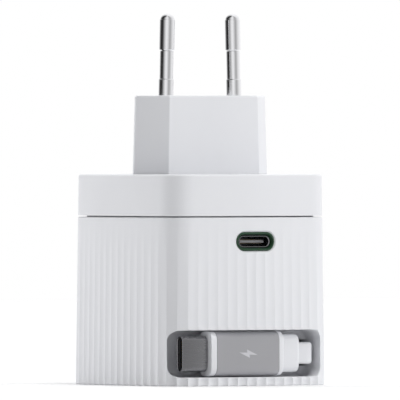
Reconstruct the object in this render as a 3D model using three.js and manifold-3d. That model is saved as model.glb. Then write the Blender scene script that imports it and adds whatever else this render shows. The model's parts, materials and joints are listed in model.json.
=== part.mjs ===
// A European wall charger with a built-in retractable USB-C cable.
// Millimetres. +Z is up, towards the plug pins. The front, with the port and the cable bay, faces -Y.
// The origin is the centre of the base.

import * as THREE from 'three';
import { mergeVertices } from 'three/addons/utils/BufferGeometryUtils.js';
import Module from 'manifold-3d';

const wasm = await Module();
wasm.setup();

// ---------------------------------------------------------------- driving dimensions

const gap = 0.3; // clearance between pieces that touch

const body = {
  width: 48, // across the middle of two opposite faces, at the base
  faceRadius: 115, // the faces are slightly bulged
  cornerRadius: 7,
  lowerHeight: 39,
  height: 48.9,
  draft: 0.0112, // inward lean of the walls, per unit of height
  wall: 1.8,
};

const flutes = { count: 66, depth: 0.45, top: 31 }; // the depth fades to nothing at the top

const plug = {
  height: 18.3,
  width: 35.9, // at the top; the block flares towards the cap
  depth: 11.6,
  frontFlat: 24.4,
  sideFlat: 0.6,
  flare: 1.036,
  flange: 1.6, // thickness of the rim that holds it under the cap
  flangeReach: 1.4,
  hollowWidth: 14,
  hollowDepth: 7.2,
};

const pin = {
  length: 19,
  baseSpacing: 18.9,
  tipSpacing: 18,
  tipRadius: 1.8,
  neckRadius: 1.6,
  rootRadius: 1.75,
  coreRadius: 1.2,
  rootLength: 3.8,
  sleeveLength: 10.4,
  tail: 4,
};

const bay = { left: -21.75, right: 19.35, bottom: 2, top: 12.9, backY: -14.5, radius: 2.4, wall: 1.2 };

const port = {
  z: 33.4,
  width: 10.4, // of the coloured bezel
  height: 4.3,
  rim: 0.65,
  shellWidth: 8.74,
  shellHeight: 2.76,
  sheet: 0.3,
  shellDepth: 8,
};

const usbPlug = { width: 8.34, thickness: 2.6, sheet: 0.3 };

const cable = { width: 5, thickness: 1.3, bendRadius: 2.2, runX: 17.9, slotMargin: 0.6 };

const head = { y: -20.3, z: 7.45, height: 10.5, thickness: 5.4 };

// Where each piece of the connector head starts, along X; the last value is where the cable starts.
const headEnds = { tip: -19, frontCollar: -11.9, sleeve: -10.3, rearCollar: 7.2, neck: 8.6, cable: 13.7 };

const reel = {
  x: 2.4,
  y: 4.2,
  coilOuter: 15.4,
  coilInner: 5.7,
  drumOuter: 15.7,
  hubRadius: 5.4,
  boreRadius: 2.5,
  arborRadius: 2.2,
  flange: 0.7,
  cupRadius: 12,
  cupWall: 0.9,
  springHeight: 2.5,
};

const cassette = { outer: 17, wall: 0.9, floor: 2.1, plate: 0.8, top: 17.4 };

const board = { halfWidth: 18.4, z: 18.9, thickness: 1.2, cornerRadius: 4 };

// ---------------------------------------------------------------- shape helpers

function toSolid(geometry) {
  const bare = geometry.clone();
  bare.deleteAttribute('normal');
  bare.deleteAttribute('uv');
  bare.clearGroups();
  const merged = mergeVertices(bare, 1e-4);
  return new wasm.Manifold(new wasm.Mesh({
    numProp: 3,
    vertProperties: new Float32Array(merged.attributes.position.array),
    triVerts: new Uint32Array(merged.index.array),
  }));
}

function toGeometry(solid) {
  const mesh = solid.getMesh();
  const geometry = new THREE.BufferGeometry();
  geometry.setAttribute('position', new THREE.BufferAttribute(mesh.vertProperties, 3));
  geometry.setIndex(new THREE.BufferAttribute(mesh.triVerts, 1));
  geometry.computeVertexNormals();
  return geometry;
}

function cut(geometry, ...tools) {
  return toGeometry(tools.reduce((solid, tool) => solid.subtract(toSolid(tool)), toSolid(geometry)));
}

function join(geometry, ...others) {
  return toGeometry(others.reduce((solid, other) => solid.add(toSolid(other)), toSolid(geometry)));
}

function common(geometry, other) {
  return toGeometry(toSolid(geometry).intersect(toSolid(other)));
}

// A box between two corners.
function box([x0, y0, z0], [x1, y1, z1]) {
  const geometry = new THREE.BoxGeometry(x1 - x0, y1 - y0, z1 - z0);
  return geometry.translate((x0 + x1) / 2, (y0 + y1) / 2, (z0 + z1) / 2);
}

// A shape in plan, extruded upwards from z0 to z1.
function prism(shape, z0, z1, curveSegments = 6) {
  const geometry = new THREE.ExtrudeGeometry(shape, { depth: z1 - z0, bevelEnabled: false, curveSegments });
  return geometry.translate(0, 0, z0);
}

// A shape drawn in X and Z, extruded along Y from y0 to y1.
function prismAlongY(shape, y0, y1, curveSegments = 6) {
  return prism(shape, -y1, -y0, curveSegments).rotateX(Math.PI / 2);
}

// A shape drawn in Y and Z, extruded along X from x0 to x1.
function prismAlongX(shape, x0, x1, curveSegments = 6) {
  return prism(shape, x0, x1, curveSegments).rotateX(Math.PI / 2).rotateZ(Math.PI / 2);
}

// A profile of [radius, height] pairs, turned about the Z axis.
// The pairs climb the outside and come down the inside, or start and end on the axis.
function turned(profile, segments = 32) {
  const points = profile.map(([radius, height]) => new THREE.Vector2(radius, height));
  return new THREE.LatheGeometry(points, segments).rotateX(Math.PI / 2);
}

function disc(radius, z0, z1, segments = 32) {
  return turned([[0, z0], [radius, z0], [radius, z1], [0, z1]], segments);
}

function ring(inner, outer, z0, z1, segments = 32) {
  return turned([[inner, z0], [outer, z0], [outer, z1], [inner, z1], [inner, z0]], segments);
}

// A closed solid through level rings of points, with a fan over each end.
function loft(rings) {
  const count = rings[0].length;
  const last = (rings.length - 1) * count;
  const middle = (points) => points.reduce((sum, p) => sum.add(p), new THREE.Vector3()).divideScalar(count);
  const points = [...rings.flat(), middle(rings[0]), middle(rings.at(-1))];
  const faces = [];
  for (let i = 0; i < count; i++) {
    const next = (i + 1) % count;
    for (let start = 0; start < last; start += count) {
      faces.push(start + i, start + next, start + count + next);
      faces.push(start + i, start + count + next, start + count + i);
    }
    faces.push(points.length - 2, next, i);
    faces.push(points.length - 1, last + i, last + next);
  }
  const geometry = new THREE.BufferGeometry().setFromPoints(points);
  geometry.setIndex(faces);
  geometry.computeVertexNormals();
  return geometry;
}

function rectangle(width, height, x = 0, y = 0) {
  const shape = new THREE.Shape();
  shape.moveTo(x - width / 2, y - height / 2);
  shape.lineTo(x + width / 2, y - height / 2);
  shape.lineTo(x + width / 2, y + height / 2);
  shape.lineTo(x - width / 2, y + height / 2);
  return shape;
}

function roundedRectangle(width, height, radius, x = 0, y = 0) {
  const right = x + width / 2 - radius;
  const left = x - width / 2 + radius;
  const top = y + height / 2 - radius;
  const bottom = y - height / 2 + radius;
  const shape = new THREE.Shape();
  shape.absarc(right, bottom, radius, -Math.PI / 2, 0);
  shape.absarc(right, top, radius, 0, Math.PI / 2);
  shape.absarc(left, top, radius, Math.PI / 2, Math.PI);
  shape.absarc(left, bottom, radius, Math.PI, 1.5 * Math.PI);
  return shape;
}

function obround(width, height, x = 0, y = 0) {
  const shape = new THREE.Shape();
  const reach = Math.abs(width - height) / 2;
  if (width > height) {
    shape.absarc(x + reach, y, height / 2, -Math.PI / 2, Math.PI / 2);
    shape.absarc(x - reach, y, height / 2, Math.PI / 2, 1.5 * Math.PI);
  } else {
    shape.absarc(x, y + reach, width / 2, 0, Math.PI);
    shape.absarc(x, y - reach, width / 2, Math.PI, 2 * Math.PI);
  }
  return shape;
}

function withHole(shape, hole) {
  shape.holes.push(hole);
  return shape;
}

// A flat strip standing on edge, whose middle line follows pointAt(0..1) in plan.
function strip(pointAt, steps, thickness, z0, z1) {
  const sides = [[], []];
  for (let i = 0; i <= steps; i++) {
    const t = i / steps;
    const point = pointAt(t);
    const along = pointAt(Math.min(t + 1e-4, 1)).sub(pointAt(Math.max(t - 1e-4, 0))).normalize();
    const across = new THREE.Vector2(-along.y, along.x).multiplyScalar(thickness / 2);
    sides[0].push(point.clone().sub(across));
    sides[1].unshift(point.clone().add(across));
  }
  return prism(new THREE.Shape([...sides[0], ...sides[1]]), z0, z1);
}

// ---------------------------------------------------------------- the outline of the body

const half = body.width / 2;
const faceCentre = body.faceRadius - half;
const cornerReach = body.faceRadius - body.cornerRadius;
const cornerCentre = (Math.sqrt(2 * cornerReach ** 2 - faceCentre ** 2) - faceCentre) / 2;
const faceAngle = Math.atan2(cornerCentre, cornerCentre + faceCentre);
const halfFace = body.faceRadius * faceAngle;
const quarterLength = 2 * halfFace + body.cornerRadius * (Math.PI / 2 - 2 * faceAngle);

// A point of the outline and the direction it faces, for a turn of 0 to 1 measured along the outline.
function outlineAt(turn) {
  const side = Math.round(turn * 4);
  const along = (turn * 4 - side) * quarterLength;
  const beyond = Math.max(Math.abs(along) - halfFace, 0);
  const onArc = Math.min(Math.abs(along), halfFace) / body.faceRadius;
  const angle = Math.sign(along) * (onArc + beyond / body.cornerRadius);
  const onFace = beyond === 0;
  const radius = onFace ? body.faceRadius : body.cornerRadius;
  const centre = onFace
    ? new THREE.Vector2(-faceCentre, 0)
    : new THREE.Vector2(cornerCentre, Math.sign(along) * cornerCentre);
  const quarterTurns = (side * Math.PI) / 2;
  const point = new THREE.Vector2(Math.cos(angle), Math.sin(angle)).multiplyScalar(radius).add(centre);
  return { point: point.rotateAround(new THREE.Vector2(), quarterTurns), facing: angle + quarterTurns };
}

// One level of the body: the outline at height z, drawn in by inset, with flutes where depth is not zero.
function bodyRing(z, inset, count, fluteDepth = 0) {
  const scale = 1 - (body.draft * z) / half;
  return Array.from({ length: count }, (_, i) => {
    const { point, facing } = outlineAt((i + 0.5) / count);
    const inward = inset + (i % 2 ? fluteDepth : 0);
    const x = point.x * scale - Math.cos(facing) * inward;
    const y = point.y * scale - Math.sin(facing) * inward;
    return new THREE.Vector3(x, y, z);
  });
}

const plainCount = 48;

// The plain outline without flutes, drawn in by inset, between two heights.
function innerBlock(z0, z1, inset) {
  return loft([z0, z1].map((z) => bodyRing(z, inset, plainCount)));
}

// ---------------------------------------------------------------- the housing

function lowerShell() {
  const points = 2 * flutes.count;
  const outside = loft([
    bodyRing(0, 0, points, flutes.depth),
    bodyRing(flutes.top, 0, points),
    bodyRing(body.lowerHeight, 0, points),
  ]);
  const hollow = innerBlock(body.wall, body.lowerHeight + 1, body.wall);
  const bayWalls = box([-half, -half, 0], [half, bay.backY + bay.wall, bay.top + bay.wall]);
  const bayMiddle = [(bay.left + bay.right) / 2, (bay.bottom + bay.top) / 2];
  const opening = roundedRectangle(bay.right - bay.left, bay.top - bay.bottom, bay.radius, ...bayMiddle);
  const slotReach = cable.width / 2 + cable.slotMargin;
  const cableSlot = box(
    [cable.runX - cable.thickness, bay.backY - 1, head.z - slotReach],
    [bay.right, bay.backY + bay.wall + 1, head.z + slotReach],
  );
  const portOutline = obround(port.width + 2 * gap, port.height + 2 * gap, 0, port.z);
  const portHole = prismAlongY(portOutline, -half - 1, -half + 4);
  const walled = join(cut(outside, hollow), common(outside, bayWalls));
  return cut(walled, prismAlongY(opening, -half - 1, bay.backY), cableSlot, portHole);
}

function plugRing(z, scale, extra = 0) {
  const x = (plug.width / 2) * scale + extra;
  const y = (plug.depth / 2) * scale + extra;
  const frontX = (plug.frontFlat / 2) * scale + extra / 2;
  const sideY = (plug.sideFlat / 2) * scale + extra / 2;
  const halfTurn = [[x, -sideY], [x, sideY], [frontX, y], [-frontX, y]];
  const otherHalf = halfTurn.map(([cornerX, cornerY]) => [-cornerX, -cornerY]);
  return [...halfTurn, ...otherHalf].map(([cornerX, cornerY]) => new THREE.Vector3(cornerX, cornerY, z));
}

const capRoof = body.height - body.wall;
const capWall = 2.4;

function topCap() {
  const bottom = body.lowerHeight + gap;
  const edge = 0.4;
  const outside = loft([
    bodyRing(bottom, 0, plainCount * 2),
    bodyRing(body.height - edge, 0, plainCount * 2),
    bodyRing(body.height, edge, plainCount * 2),
  ]);
  const lip = innerBlock(bottom - 2, bottom + 1, body.wall + gap);
  const hollow = innerBlock(bottom - 3, capRoof, capWall);
  const lipHollow = innerBlock(bottom - 3, capRoof, body.wall + gap + 1);
  const plugHole = loft([plugRing(capRoof - 1, plug.flare, gap), plugRing(body.height + 1, plug.flare, gap)]);
  return cut(join(cut(outside, hollow), lip), lipHollow, plugHole);
}

const plugTop = body.height + plug.height;
const pinTilt = Math.atan2((pin.baseSpacing - pin.tipSpacing) / 2, pin.length);
const flangeTop = capRoof - gap;

// Pins stand on the plug's top face and lean towards each other.
function asPin(geometry, side) {
  return geometry.rotateY(-side * pinTilt).translate((side * pin.baseSpacing) / 2, 0, plugTop);
}

function plugBody() {
  const flange = loft([
    plugRing(flangeTop - plug.flange, plug.flare, plug.flangeReach),
    plugRing(flangeTop, plug.flare, plug.flangeReach),
  ]);
  const stem = loft([plugRing(flangeTop - plug.flange / 2, plug.flare), plugRing(plugTop, 1)]);
  const depth = plug.height + body.wall + plug.flange + 2;
  const bores = [-1, 1].map((side) => asPin(disc(pin.rootRadius + gap, -depth, 1, 20), side));
  const [hollowX, hollowY] = [plug.hollowWidth / 2, plug.hollowDepth / 2];
  const hollow = box([-hollowX, -hollowY, flangeTop - plug.flange - 1], [hollowX, hollowY, plugTop - 2]);
  return cut(join(stem, flange), ...bores, hollow);
}

const tailBottom = -(plug.height + body.wall + plug.flange + pin.tail);

function pinCore() {
  const dome = Array.from({ length: 5 }, (_, i) => {
    const angle = (i / 4) * (Math.PI / 2);
    return [pin.tipRadius * Math.cos(angle), pin.length - pin.tipRadius + pin.tipRadius * Math.sin(angle)];
  });
  dome.at(-1)[0] = 0;
  const profile = [
    [0, tailBottom],
    [pin.coreRadius, tailBottom],
    [pin.coreRadius, pin.sleeveLength + 0.1],
    [pin.tipRadius, pin.sleeveLength + 0.1],
    ...dome,
  ];
  return turned(profile, 20);
}

function pinSleeve() {
  const inner = pin.coreRadius + 0.1;
  return turned([
    [inner, -8],
    [pin.rootRadius, -8],
    [pin.rootRadius, pin.rootLength],
    [pin.neckRadius, pin.rootLength],
    [pin.neckRadius, pin.sleeveLength],
    [inner, pin.sleeveLength],
    [inner, -8],
  ], 20);
}

// A bent strip from the pin's tail, out to the wall and down to the board.
function contactStrip(side) {
  const top = plugTop + tailBottom - gap;
  const bottom = board.z + board.thickness + gap;
  const outer = 17.6;
  const shape = new THREE.Shape([
    new THREE.Vector2(7.6, top),
    new THREE.Vector2(7.6, top - 0.5),
    new THREE.Vector2(outer - 0.5, top - 0.5),
    new THREE.Vector2(outer - 0.5, bottom),
    new THREE.Vector2(outer, bottom),
    new THREE.Vector2(outer, top),
  ].reverse());
  const geometry = prismAlongY(shape, -2, 2);
  return side < 0 ? geometry.rotateZ(Math.PI) : geometry;
}

// ---------------------------------------------------------------- the fixed port

const frontAtPort = -half + body.draft * port.z;
const portMouth = frontAtPort + 0.8;

function portBezel() {
  const hole = obround(port.width - 2 * port.rim, port.height - 2 * port.rim, 0, port.z);
  const shape = withHole(obround(port.width, port.height, 0, port.z), hole);
  return prismAlongY(shape, frontAtPort + 0.05, frontAtPort + 3.4);
}

function portShell() {
  const outer = obround(port.shellWidth, port.shellHeight, 0, port.z);
  const inner = obround(port.shellWidth - 2 * port.sheet, port.shellHeight - 2 * port.sheet, 0, port.z);
  const block = prismAlongY(outer, portMouth, portMouth + port.shellDepth);
  return cut(block, prismAlongY(inner, portMouth - 1, portMouth + port.shellDepth - port.sheet));
}

function portTongue() {
  const back = portMouth + port.shellDepth - port.sheet - 0.1;
  return prismAlongY(rectangle(6.7, 0.7, 0, port.z), portMouth + 1, back);
}

// ---------------------------------------------------------------- the connector on the cable

function headShape(width, height, radius) {
  return roundedRectangle(width, height, radius, head.y, head.z);
}

function usbPlugShell() {
  const { thickness, width, sheet } = usbPlug;
  const outer = obround(thickness, width, head.y, head.z);
  const inner = obround(thickness - 2 * sheet, width - 2 * sheet, head.y, head.z);
  return prismAlongX(withHole(outer, inner), headEnds.tip, headEnds.frontCollar - gap);
}

function usbPlugInsert() {
  const play = 2 * usbPlug.sheet + 0.2;
  const outer = obround(usbPlug.thickness - play, usbPlug.width - play, head.y, head.z);
  const mouth = obround(0.8, 6.8, head.y, head.z);
  const insert = prismAlongX(outer, headEnds.tip + 0.5, headEnds.frontCollar - gap);
  return cut(insert, prismAlongX(mouth, headEnds.tip - 1, headEnds.frontCollar - 1.6));
}

// A level of a tapering piece along X, as a rounded rectangle with three points on each corner.
function headRing(x, inset, radius = 2) {
  const shape = headShape(head.thickness - 2 * inset, head.height - 2 * inset, radius);
  return shape.getPoints(3).slice(0, -1).map((point) => new THREE.Vector3(x, point.x, point.y));
}

const headChamfer = 0.6;
const collarEdge = 0.15;
const collarInset = 0.05; // the collars sit just under the sleeve's surface

function frontCollar() {
  const { frontCollar: start, sleeve } = headEnds;
  return loft([
    headRing(start, collarInset + collarEdge),
    headRing(start + collarEdge, collarInset),
    headRing(sleeve - gap, collarInset),
  ]);
}

function gripSleeve() {
  const outline = headShape(head.thickness, head.height, 2);
  return cut(prismAlongX(outline, headEnds.sleeve, headEnds.rearCollar - gap, 4), bolt(0.25, 1));
}

function rearCollar() {
  const end = headEnds.neck - gap;
  return loft([
    headRing(headEnds.rearCollar, collarInset),
    headRing(end - headChamfer, collarInset),
    headRing(end, headChamfer),
  ]);
}

function cableNeck() {
  const end = headEnds.cable - gap;
  const levels = [[headEnds.neck, 0.9], [end - 0.7, 0.9], [end, 1.3]];
  return loft(levels.map(([x, inset]) => headRing(x, inset, 1.4)));
}

// A small generic charging sign on the sleeve: a stout bolt, the same when turned by half a turn.
function bolt(depth, outward = 0, scale = 1) {
  const half = [[-2.6, 0.3], [0.4, -1], [0.3, -0.25]].map(([x, y]) => [x * scale, y * scale]);
  const corners = [...half, ...half.map(([x, y]) => [-x, -y])];
  const shape = new THREE.Shape(corners.map(([x, y]) => new THREE.Vector2(x, y)));
  const centreX = (headEnds.sleeve + headEnds.rearCollar) / 2;
  const face = head.y - head.thickness / 2;
  return prismAlongY(shape, face - outward, face + depth).translate(centreX, 0, head.z);
}

// ---------------------------------------------------------------- the cable

const coilMiddle = reel.coilOuter - cable.thickness / 2;
const cableFloor = head.z - cable.width / 2;
const cableRoof = head.z + cable.width / 2;
const bendTop = new THREE.Vector2(cable.runX, head.y + cable.bendRadius);
const reelCentre = new THREE.Vector2(reel.x, reel.y);

// Where a straight line from the bend meets the outside of the coil.
function leavingPoint() {
  const toReel = reelCentre.clone().sub(bendTop);
  const length = Math.sqrt(toReel.lengthSq() - coilMiddle ** 2);
  const direction = toReel.angle() - Math.asin(coilMiddle / toReel.length());
  return new THREE.Vector2(Math.cos(direction), Math.sin(direction)).multiplyScalar(length).add(bendTop);
}

function cableRun() {
  const contact = leavingPoint();
  const clear = Math.sqrt((reel.coilOuter + gap) ** 2 - (coilMiddle - cable.thickness / 2) ** 2);
  const start = contact.clone().lerp(bendTop, clear / contact.distanceTo(bendTop));
  const end = bendTop.clone().add(new THREE.Vector2(0, gap));
  return strip((t) => start.clone().lerp(end, t), 4, cable.thickness, cableFloor, cableRoof);
}

function cableBend() {
  const arc = (cable.bendRadius * Math.PI) / 2;
  const straight = cable.runX - cable.bendRadius - headEnds.cable;
  const centre = bendTop.clone().sub(new THREE.Vector2(cable.bendRadius, 0));
  const pointAt = (t) => {
    const along = t * (arc + straight);
    const angle = Math.min(along, arc) / cable.bendRadius;
    const outward = new THREE.Vector2(Math.cos(angle), -Math.sin(angle));
    const onArc = outward.multiplyScalar(cable.bendRadius).add(centre);
    return onArc.sub(new THREE.Vector2(Math.max(along - arc, 0), 0));
  };
  return strip(pointAt, 12, cable.thickness, cableFloor, cableRoof);
}

// ---------------------------------------------------------------- the reel

function onReel(geometry) {
  return geometry.translate(reel.x, reel.y, 0);
}

const drumFloor = cableFloor - gap - reel.flange;
const drumRoof = cableRoof + gap + reel.flange;
const cupTop = drumRoof + reel.springHeight + 0.4;

function reelDrum() {
  const profile = [
    [reel.boreRadius, drumFloor],
    [reel.drumOuter, drumFloor],
    [reel.drumOuter, drumFloor + reel.flange],
    [reel.hubRadius, drumFloor + reel.flange],
    [reel.hubRadius, drumRoof - reel.flange],
    [reel.drumOuter, drumRoof - reel.flange],
    [reel.drumOuter, drumRoof],
    [reel.cupRadius + reel.cupWall, drumRoof],
    [reel.cupRadius + reel.cupWall, cupTop],
    [reel.cupRadius, cupTop],
    [reel.cupRadius, drumRoof],
    [reel.boreRadius, drumRoof],
    [reel.boreRadius, drumFloor],
  ];
  const notches = Array.from({ length: 6 }, (_, i) => {
    const angle = (i / 6) * 2 * Math.PI;
    const reach = reel.cupRadius + reel.cupWall + 0.4;
    const notch = disc(0.9, drumRoof + gap, cupTop + 1, 6);
    return notch.translate(reach * Math.cos(angle), reach * Math.sin(angle), 0);
  });
  return onReel(cut(turned(profile, 32), ...notches));
}

function mainSpring() {
  const turns = 6;
  const inner = reel.arborRadius + 0.8;
  const outer = reel.cupRadius - 0.5;
  const pointAt = (t) => {
    const angle = t * turns * 2 * Math.PI;
    const radius = inner + (outer - inner) * t;
    return new THREE.Vector2(Math.cos(angle), Math.sin(angle)).multiplyScalar(radius);
  };
  return onReel(strip(pointAt, turns * 12, 0.3, drumRoof + gap, drumRoof + reel.springHeight));
}

const slipRingFloor = cupTop + 0.1;
const slipRingTop = slipRingFloor + 0.6;

function slipRing() {
  return onReel(ring(4, reel.cupRadius + reel.cupWall, slipRingFloor, slipRingTop));
}

function cassetteBase() {
  const { outer, wall, floor, plate, top } = cassette;
  const rim = top - plate - gap;
  const cup = turned([
    [0, floor],
    [outer, floor],
    [outer, rim],
    [outer - wall, rim],
    [outer - wall, floor + plate],
    [0, floor + plate],
  ]);
  const window = box([12, -outer, cableFloor - 0.6], [outer + 1, 1, cableRoof + 0.6]);
  const screwBosses = screwPlaces.map(([x, y]) => ring(0.8, 1.5, floor, rim, 12).translate(x, y, 0));
  const screwHoles = screwPlaces.map(([x, y]) => disc(0.8, floor - 1, rim + 1, 12).translate(x, y, 0));
  return onReel(cut(join(cut(cup, window), ...screwBosses), ...screwHoles));
}

const screwPlaces = [42, 145, 215].map((degrees) => {
  const angle = THREE.MathUtils.degToRad(degrees);
  const reach = cassette.outer + 0.9;
  return [reach * Math.cos(angle), reach * Math.sin(angle)];
});

const pawl = {
  angle: 0.86 * Math.PI, // where its pivot stands on the cover
  radius: 14.5,
  pivotRadius: 0.6,
  eye: 1.2,
  length: 5.5,
  width: 0.9,
  lean: 0.13,
};
const pawlPivot = [pawl.radius * Math.cos(pawl.angle), pawl.radius * Math.sin(pawl.angle)];
const pawlFloor = drumRoof + 0.5;
const pawlTop = cupTop - 0.3;

function cassetteCover() {
  const { outer, plate, top } = cassette;
  const ears = screwPlaces.map(([x, y]) => disc(1.5, top - plate, top, 12).translate(x, y, 0));
  const screwHoles = screwPlaces.map(([x, y]) => disc(0.8, top - plate - 1, top + 1, 12).translate(x, y, 0));
  const pivot = disc(pawl.pivotRadius, pawlFloor, top - plate / 2, 12).translate(...pawlPivot, 0);
  const arborHole = disc(reel.arborRadius + 0.1, top - plate - 1, top + 1, 20);
  return onReel(cut(join(disc(outer, top - plate, top, 32), ...ears, pivot), ...screwHoles, arborHole));
}

// The pawl swings on the cover's pivot; its nose points along the rim of the spring cup.
function ratchetPawl() {
  const eye = disc(pawl.eye, pawlFloor, pawlTop, 12);
  const arm = box([0, -pawl.width / 2, pawlFloor], [pawl.length, pawl.width / 2, pawlTop]);
  const nose = box([pawl.length - 1, 0, pawlFloor], [pawl.length, 1.1, pawlTop]);
  const bore = disc(pawl.pivotRadius + 0.1, pawlFloor - 1, pawlTop + 1, 12);
  const shape = cut(join(eye, arm, nose), bore);
  return onReel(shape.rotateZ(pawl.angle + Math.PI / 2 + pawl.lean).translate(...pawlPivot, 0));
}

function reelArbor() {
  const slot = box([-0.3, -5, cupTop - 2], [0.3, 5, cupTop + 0.4]);
  const post = disc(reel.arborRadius, cassette.floor + cassette.plate + 0.1, cassette.top - 0.1, 24);
  return onReel(cut(post, slot));
}

function brushContact(index) {
  const radius = 6.5 + 2.2 * index;
  const z = slipRingTop + 0.15;
  const ceiling = cassette.top - cassette.plate - 0.1;
  const leaf = prism(rectangle(1, 6, -radius, 0), z, z + 0.3);
  const foot = prism(rectangle(1, 1.4, -radius, 2.3), z, ceiling);
  return onReel(join(leaf, foot));
}

function cassetteScrew(index) {
  const [x, y] = screwPlaces[index];
  const thread = 0.7;
  const headRadius = 1.3;
  const [tip, seatZ] = [cassette.floor + 4, cassette.top + 0.1];
  const screw = turned([
    [0, tip],
    [thread, tip],
    [thread, seatZ],
    [headRadius, seatZ],
    [headRadius, seatZ + 0.5],
    [0, seatZ + 0.5],
  ], 12);
  const cross = box([-0.9, -0.15, cassette.top + 0.35], [0.9, 0.15, cassette.top + 1]);
  return onReel(cut(screw, cross).translate(x, y, 0));
}

// ---------------------------------------------------------------- the electronics

const boardTop = board.z + board.thickness;
const seat = boardTop + 0.1;

function mainBoard() {
  const shape = roundedRectangle(2 * board.halfWidth, 2 * board.halfWidth, board.cornerRadius);
  return prism(shape, board.z, boardTop, 3);
}

function can(x, y, radius, height) {
  const edge = 0.5;
  const top = seat + height;
  const profile = [[0, seat], [radius, seat], [radius, top - edge], [radius - edge, top], [0, top]];
  return turned(profile, 16).translate(x, y, 0);
}

const transformer = { x: -6.5, y: 7, width: 18, depth: 10, height: 15, bobbin: 1.6, leg: 5.4, side: 2.6 };

function transformerBobbin() {
  const { x, y, width, bobbin } = transformer;
  return prism(roundedRectangle(width, 16, 1, x, y), seat, seat + bobbin, 3);
}

function transformerCore() {
  const { x, y, width, depth, height, leg, side, bobbin } = transformer;
  const bottom = seat + bobbin + gap;
  const yoke = 2.4;
  const windowWidth = (width - leg) / 2 - side;
  const block = box([x - width / 2, y - depth / 2, bottom], [x + width / 2, y + depth / 2, bottom + height]);
  const windows = [-1, 1].map((sign) => {
    const middle = x + sign * (leg / 2 + windowWidth / 2);
    return box([middle - windowWidth / 2, y - depth, bottom + yoke],
      [middle + windowWidth / 2, y + depth, bottom + height - yoke]);
  });
  return cut(block, ...windows);
}

function transformerWinding() {
  const { x, y, depth, height, leg, width, side, bobbin } = transformer;
  const bottom = seat + bobbin + gap + 2.4 + gap;
  const outer = roundedRectangle(width - 2 * side - 2 * gap, depth + 6.4, 2.5, x, y);
  const shape = withHole(outer, rectangle(leg + 2 * gap, depth + 2 * gap, x, y));
  return prism(shape, bottom, bottom + height - 4.8 - 2 * gap, 4);
}

function chokeCoil() {
  return new THREE.TorusGeometry(3.4, 1.7, 8, 14).rotateX(Math.PI / 2).translate(-11, -10, seat + 5.2);
}

function slab(x, y, width, depth, height, radius = 0.6) {
  return prism(roundedRectangle(width, depth, radius, x, y), seat, seat + height, 2);
}

// A plate behind the transformer that folds forward over it.
function heatSpreader() {
  const sheet = 0.8;
  const [back, front] = [18, 8];
  const top = board.z + 20.2;
  const shape = new THREE.Shape([
    new THREE.Vector2(back, seat),
    new THREE.Vector2(back, top),
    new THREE.Vector2(front, top),
    new THREE.Vector2(front, top - sheet),
    new THREE.Vector2(back - sheet, top - sheet),
    new THREE.Vector2(back - sheet, seat),
  ]);
  return prismAlongX(shape, -13, 13);
}

function usbBoard() {
  return prism(roundedRectangle(17, 8.8, 1, 0, -15), port.z - 2.9, port.z - 1.9, 3);
}

// ---------------------------------------------------------------- the assembly

const charger = new THREE.Group();

const finishes = {
  whitePlastic: { color: 0xe4e5e8, roughness: 0.42, metalness: 0 },
  plugPlastic: { color: 0xe6e7ea, roughness: 0.45, metalness: 0 },
  nickel: { color: 0xc9cacc, roughness: 0.12, metalness: 1 },
  greenPlastic: { color: 0x3f5f4c, roughness: 0.4, metalness: 0 },
  steel: { color: 0x8a8b90, roughness: 0.28, metalness: 1 },
  blackPlastic: { color: 0x222326, roughness: 0.5, metalness: 0 },
  tongueGrey: { color: 0x9a9ca0, roughness: 0.5, metalness: 0 },
  greyAnodised: { color: 0xa3a4a8, roughness: 0.45, metalness: 0.4 },
  lightPrint: { color: 0xd2d3d6, roughness: 0.6, metalness: 0 },
  cableJacket: { color: 0xe2e3e7, roughness: 0.6, metalness: 0 },
  reelPlastic: { color: 0x8f9399, roughness: 0.5, metalness: 0 },
  springSteel: { color: 0x9ea1a6, roughness: 0.3, metalness: 1 },
  brass: { color: 0xc9a34e, roughness: 0.3, metalness: 1 },
  boardGreen: { color: 0x1f5c3a, roughness: 0.5, metalness: 0 },
  ferrite: { color: 0x3a3a3d, roughness: 0.7, metalness: 0 },
  copperWire: { color: 0xb0703a, roughness: 0.35, metalness: 0.7 },
  yellowTape: { color: 0xd9b63a, roughness: 0.5, metalness: 0 },
  canSleeve: { color: 0x25313f, roughness: 0.4, metalness: 0 },
  blueCeramic: { color: 0x2f6fae, roughness: 0.5, metalness: 0 },
  aluminium: { color: 0xb8bcc2, roughness: 0.35, metalness: 1 },
  fibreSheet: { color: 0xd8d2b8, roughness: 0.7, metalness: 0 },
};

function add(name, finish, geometry) {
  const mesh = new THREE.Mesh(geometry, new THREE.MeshStandardMaterial(finishes[finish]));
  mesh.name = name;
  charger.add(mesh);
}

add('lower_shell', 'whitePlastic', lowerShell());
add('top_cap', 'whitePlastic', topCap());
add('plug_body', 'plugPlastic', plugBody());
[['left', -1], ['right', 1]].forEach(([name, side]) => {
  add(`pin_${name}`, 'nickel', asPin(pinCore(), side));
  add(`pin_sleeve_${name}`, 'nickel', asPin(pinSleeve(), side));
  add(`contact_strip_${name}`, 'brass', contactStrip(side));
});

add('port_bezel', 'greenPlastic', portBezel());
add('port_shell', 'steel', portShell());
add('port_tongue', 'tongueGrey', portTongue());

add('usb_plug_shell', 'steel', usbPlugShell());
add('usb_plug_insert', 'blackPlastic', usbPlugInsert());
add('front_collar', 'whitePlastic', frontCollar());
add('grip_sleeve', 'greyAnodised', gripSleeve());
add('bolt_emblem', 'lightPrint', bolt(0.15, 0, 0.88));
add('rear_collar', 'whitePlastic', rearCollar());
add('cable_neck', 'whitePlastic', cableNeck());
add('cable_bend', 'cableJacket', cableBend());
add('cable_run', 'cableJacket', cableRun());
add('cable_coil', 'cableJacket', onReel(ring(reel.coilInner, reel.coilOuter, cableFloor, cableRoof, 32)));

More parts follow.
